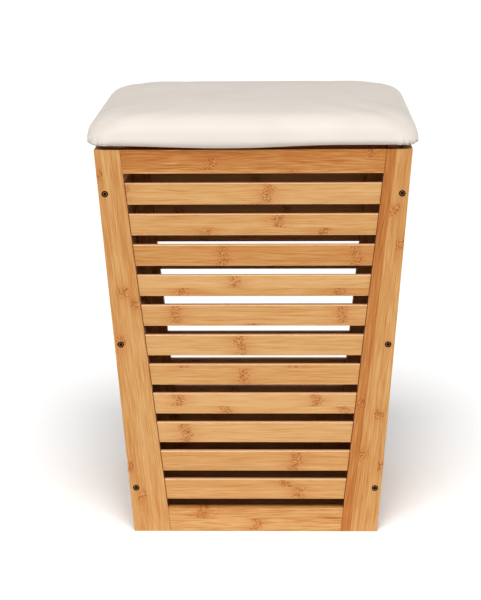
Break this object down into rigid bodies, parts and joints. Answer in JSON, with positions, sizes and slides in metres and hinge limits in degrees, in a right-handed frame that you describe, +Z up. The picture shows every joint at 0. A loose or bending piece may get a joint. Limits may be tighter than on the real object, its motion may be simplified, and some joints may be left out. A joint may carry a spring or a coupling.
{
  "type": "laundry hamper with padded lid",
  "caption": "Tapered slatted bamboo laundry hamper with a see-through body and a padded fabric lid hinged along the back.",
  "frame": {"origin": "on the floor, in the middle of the hamper's footprint", "axes": "+Z up, -Y towards the front, +X to the right seen from the front"},
  "size_m": [0.412, 0.384, 0.5595],
  "materials": {
    "bamboo_stile": "satin lacquered laminated bamboo",
    "bamboo_rail": "satin lacquered bamboo, a little darker",
    "bamboo_slat": "satin lacquered bamboo",
    "plywood": "plain plywood",
    "foam": "open cell foam",
    "cover_fabric": "cream woven cotton",
    "screw_bronze": "dark bronze plated",
    "hinge_steel": "satin nickel plated"
  },
  "bodies": {
    "frame": {"front_left_stile": "bamboo_stile", "front_right_stile": "bamboo_stile", "front_top_rail": "bamboo_rail", "front_bottom_rail": "bamboo_rail", "front_slat_01": "bamboo_slat", "front_slat_02": "bamboo_slat", "front_slat_03": "bamboo_slat", "front_slat_04": "bamboo_slat", "front_slat_05": "bamboo_slat", "front_slat_06": "bamboo_slat", "front_slat_07": "bamboo_slat", "front_slat_08": "bamboo_slat", "front_slat_09": "bamboo_slat", "front_slat_10": "bamboo_slat", "front_slat_11": "bamboo_slat", "back_left_stile": "bamboo_stile", "back_right_stile": "bamboo_stile", "back_top_rail": "bamboo_rail", "back_bottom_rail": "bamboo_rail", "back_slat_01": "bamboo_slat", "back_slat_02": "bamboo_slat", "back_slat_03": "bamboo_slat", "back_slat_04": "bamboo_slat", "back_slat_05": "bamboo_slat", "back_slat_06": "bamboo_slat", "back_slat_07": "bamboo_slat", "back_slat_08": "bamboo_slat", "back_slat_09": "bamboo_slat", "back_slat_10": "bamboo_slat", "back_slat_11": "bamboo_slat", "left_front_stile": "bamboo_stile", "left_back_stile": "bamboo_stile", "left_top_rail": "bamboo_rail", "left_bottom_rail": "bamboo_rail", "left_slats": "bamboo_slat", "right_front_stile": "bamboo_stile", "right_back_stile": "bamboo_stile", "right_top_rail": "bamboo_rail", "right_bottom_rail": "bamboo_rail", "right_slats": "bamboo_slat", "base_board": "plywood", "base_cleat_front": "bamboo_rail", "base_cleat_back": "bamboo_rail", "front_screw_left_bottom": "screw_bronze", "front_screw_left_middle": "screw_bronze", "front_screw_left_top": "screw_bronze", "front_screw_right_bottom": "screw_bronze", "front_screw_right_middle": "screw_bronze", "front_screw_right_top": "screw_bronze", "left_hinge_frame_leaf": "hinge_steel", "left_hinge_pin": "hinge_steel", "right_hinge_frame_leaf": "hinge_steel", "right_hinge_pin": "hinge_steel"},
    "lid": {"lid_board": "plywood", "lid_foam": "foam", "lid_cover": "cover_fabric", "left_hinge_lid_leaf": "hinge_steel", "right_hinge_lid_leaf": "hinge_steel"}
  },
  "joints": [
    {"name": "lid_hinge", "type": "hinge", "parent": "frame", "child": "lid", "pos_m": [0, 0.1896, 0.517], "axis": [-1, 0, 0], "range_deg": [0, 100]}
  ]
}
